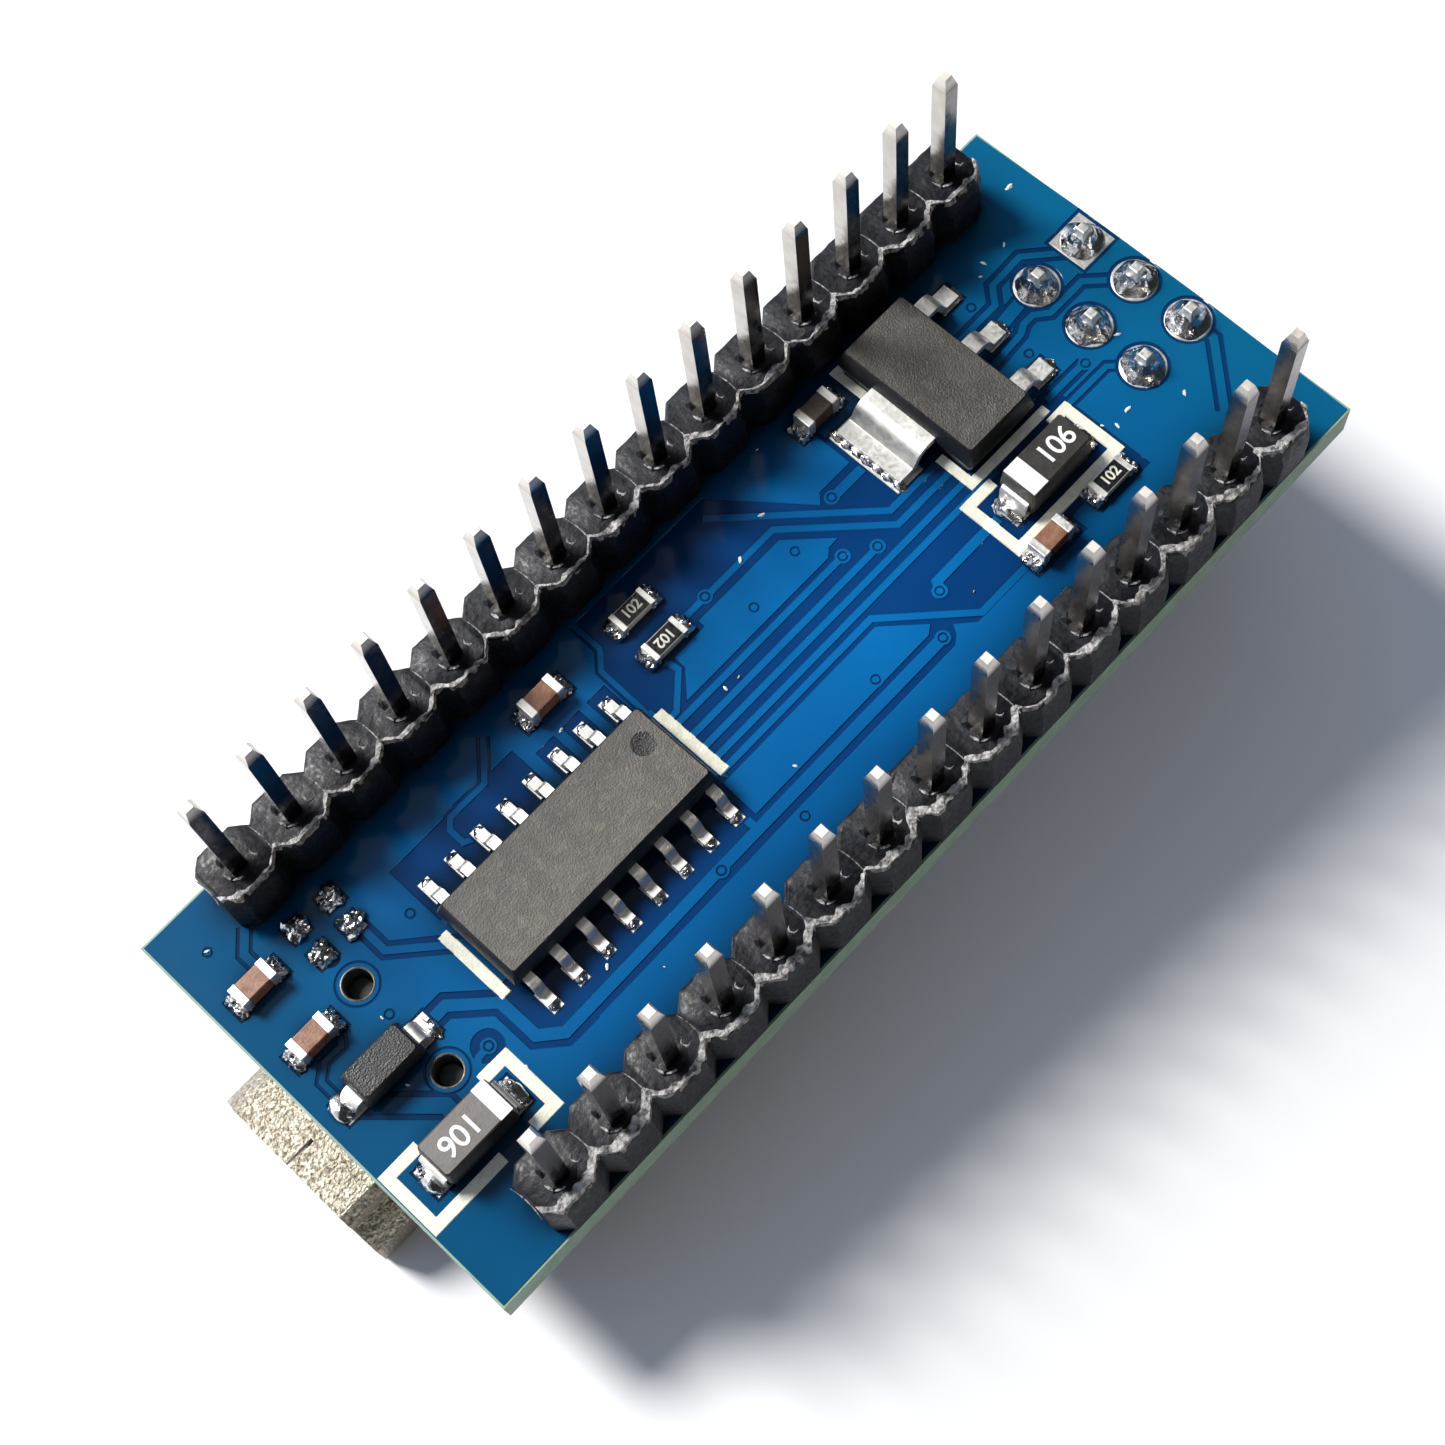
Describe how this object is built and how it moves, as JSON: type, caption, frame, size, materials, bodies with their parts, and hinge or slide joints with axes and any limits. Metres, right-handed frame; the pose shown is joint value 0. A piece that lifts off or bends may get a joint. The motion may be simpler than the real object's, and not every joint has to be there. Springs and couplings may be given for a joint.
{
  "type": "microcontroller dev board",
  "caption": "Narrow breadboard-style microcontroller board with two pin header rows, a USB socket at one end, a programming header at the other and a reset button.",
  "frame": {"origin": "middle of the object's box in X and Y, level with the programming header's pin tips (the bottom of the box)", "axes": "+X along the board from the USB socket to the programming header, +Y towards header row A, +Z out of the pin side, so the long header pins point up and the component side faces down"},
  "size_m": [0.0452, 0.0178, 0.0187],
  "materials": {
    "solder_mask": "satin blue solder mask over fibreglass laminate",
    "header_plastic": "moulded black insulator strip",
    "icsp_plastic": "moulded black insulator block with plated pins",
    "pin_plate": "tin-plated brass, slightly warm silver",
    "usb_shell_metal": "nickel-plated folded steel",
    "usb_insert_plastic": "black moulded insert with plated contacts",
    "chip_epoxy": "dark grey moulding compound with tinned leads",
    "controller_epoxy": "black moulding compound with tinned leads",
    "regulator_epoxy": "dark moulding compound with tinned tab and leads",
    "tantalum_resin": "grey moulded resin with a pale polarity band",
    "ceramic": "tan ceramic with tinned end caps",
    "resistor": "black glazed film on white ceramic, tinned ends",
    "diode_epoxy": "black moulded body with tinned leads",
    "crystal_metal": "welded metal lid on a ceramic base",
    "switch_plastic": "black moulded base",
    "switch_steel": "thin bright sheet steel",
    "button_plastic": "off-white moulded plunger",
    "led_resin": "clear yellowish lens on a pale base"
  },
  "bodies": {
    "board": {"ceramic_cap_chip": "ceramic", "ceramic_cap_output": "ceramic", "ceramic_cap_regulator": "ceramic", "ceramic_cap_usb_a": "ceramic", "ceramic_cap_usb_b": "ceramic", "circuit_board": "solder_mask", "crystal_controller": "crystal_metal", "crystal_usb": "crystal_metal", "header_pin_a01": "pin_plate", "header_pin_a02": "pin_plate", "header_pin_a03": "pin_plate", "header_pin_a04": "pin_plate", "header_pin_a05": "pin_plate", "header_pin_a06": "pin_plate", "header_pin_a07": "pin_plate", "header_pin_a08": "pin_plate", "header_pin_a09": "pin_plate", "header_pin_a10": "pin_plate", "header_pin_a11": "pin_plate", "header_pin_a12": "pin_plate", "header_pin_a13": "pin_plate", "header_pin_a14": "pin_plate", "header_pin_a15": "pin_plate", "header_pin_b01": "pin_plate", "header_pin_b02": "pin_plate", "header_pin_b03": "pin_plate", "header_pin_b04": "pin_plate", "header_pin_b05": "pin_plate", "header_pin_b06": "pin_plate", "header_pin_b07": "pin_plate", "header_pin_b08": "pin_plate", "header_pin_b09": "pin_plate", "header_pin_b10": "pin_plate", "header_pin_b11": "pin_plate", "header_pin_b12": "pin_plate", "header_pin_b13": "pin_plate", "header_pin_b14": "pin_plate", "header_pin_b15": "pin_plate", "header_strip_a": "header_plastic", "header_strip_b": "header_plastic", "icsp_header": "icsp_plastic", "led_power": "led_resin", "led_receive": "led_resin", "led_transmit": "led_resin", "led_user": "led_resin", "microcontroller": "controller_epoxy", "rectifier_diode": "diode_epoxy", "reset_switch_base": "switch_plastic", "reset_switch_cover": "switch_steel", "reset_switch_dome": "switch_steel", "resistor_led": "resistor", "resistor_rx": "resistor", "resistor_tx": "resistor", "tantalum_cap_input": "tantalum_resin", "tantalum_cap_output": "tantalum_resin", "usb_insert": "usb_insert_plastic", "usb_serial_chip": "chip_epoxy", "usb_shell": "usb_shell_metal", "voltage_regulator": "regulator_epoxy"},
    "button": {"reset_button": "button_plastic"}
  },
  "joints": [
    {"name": "reset_press", "type": "slide", "parent": "board", "child": "button", "axis": [0, 0, 1], "range_m": [0, 0.00025]}
  ]
}
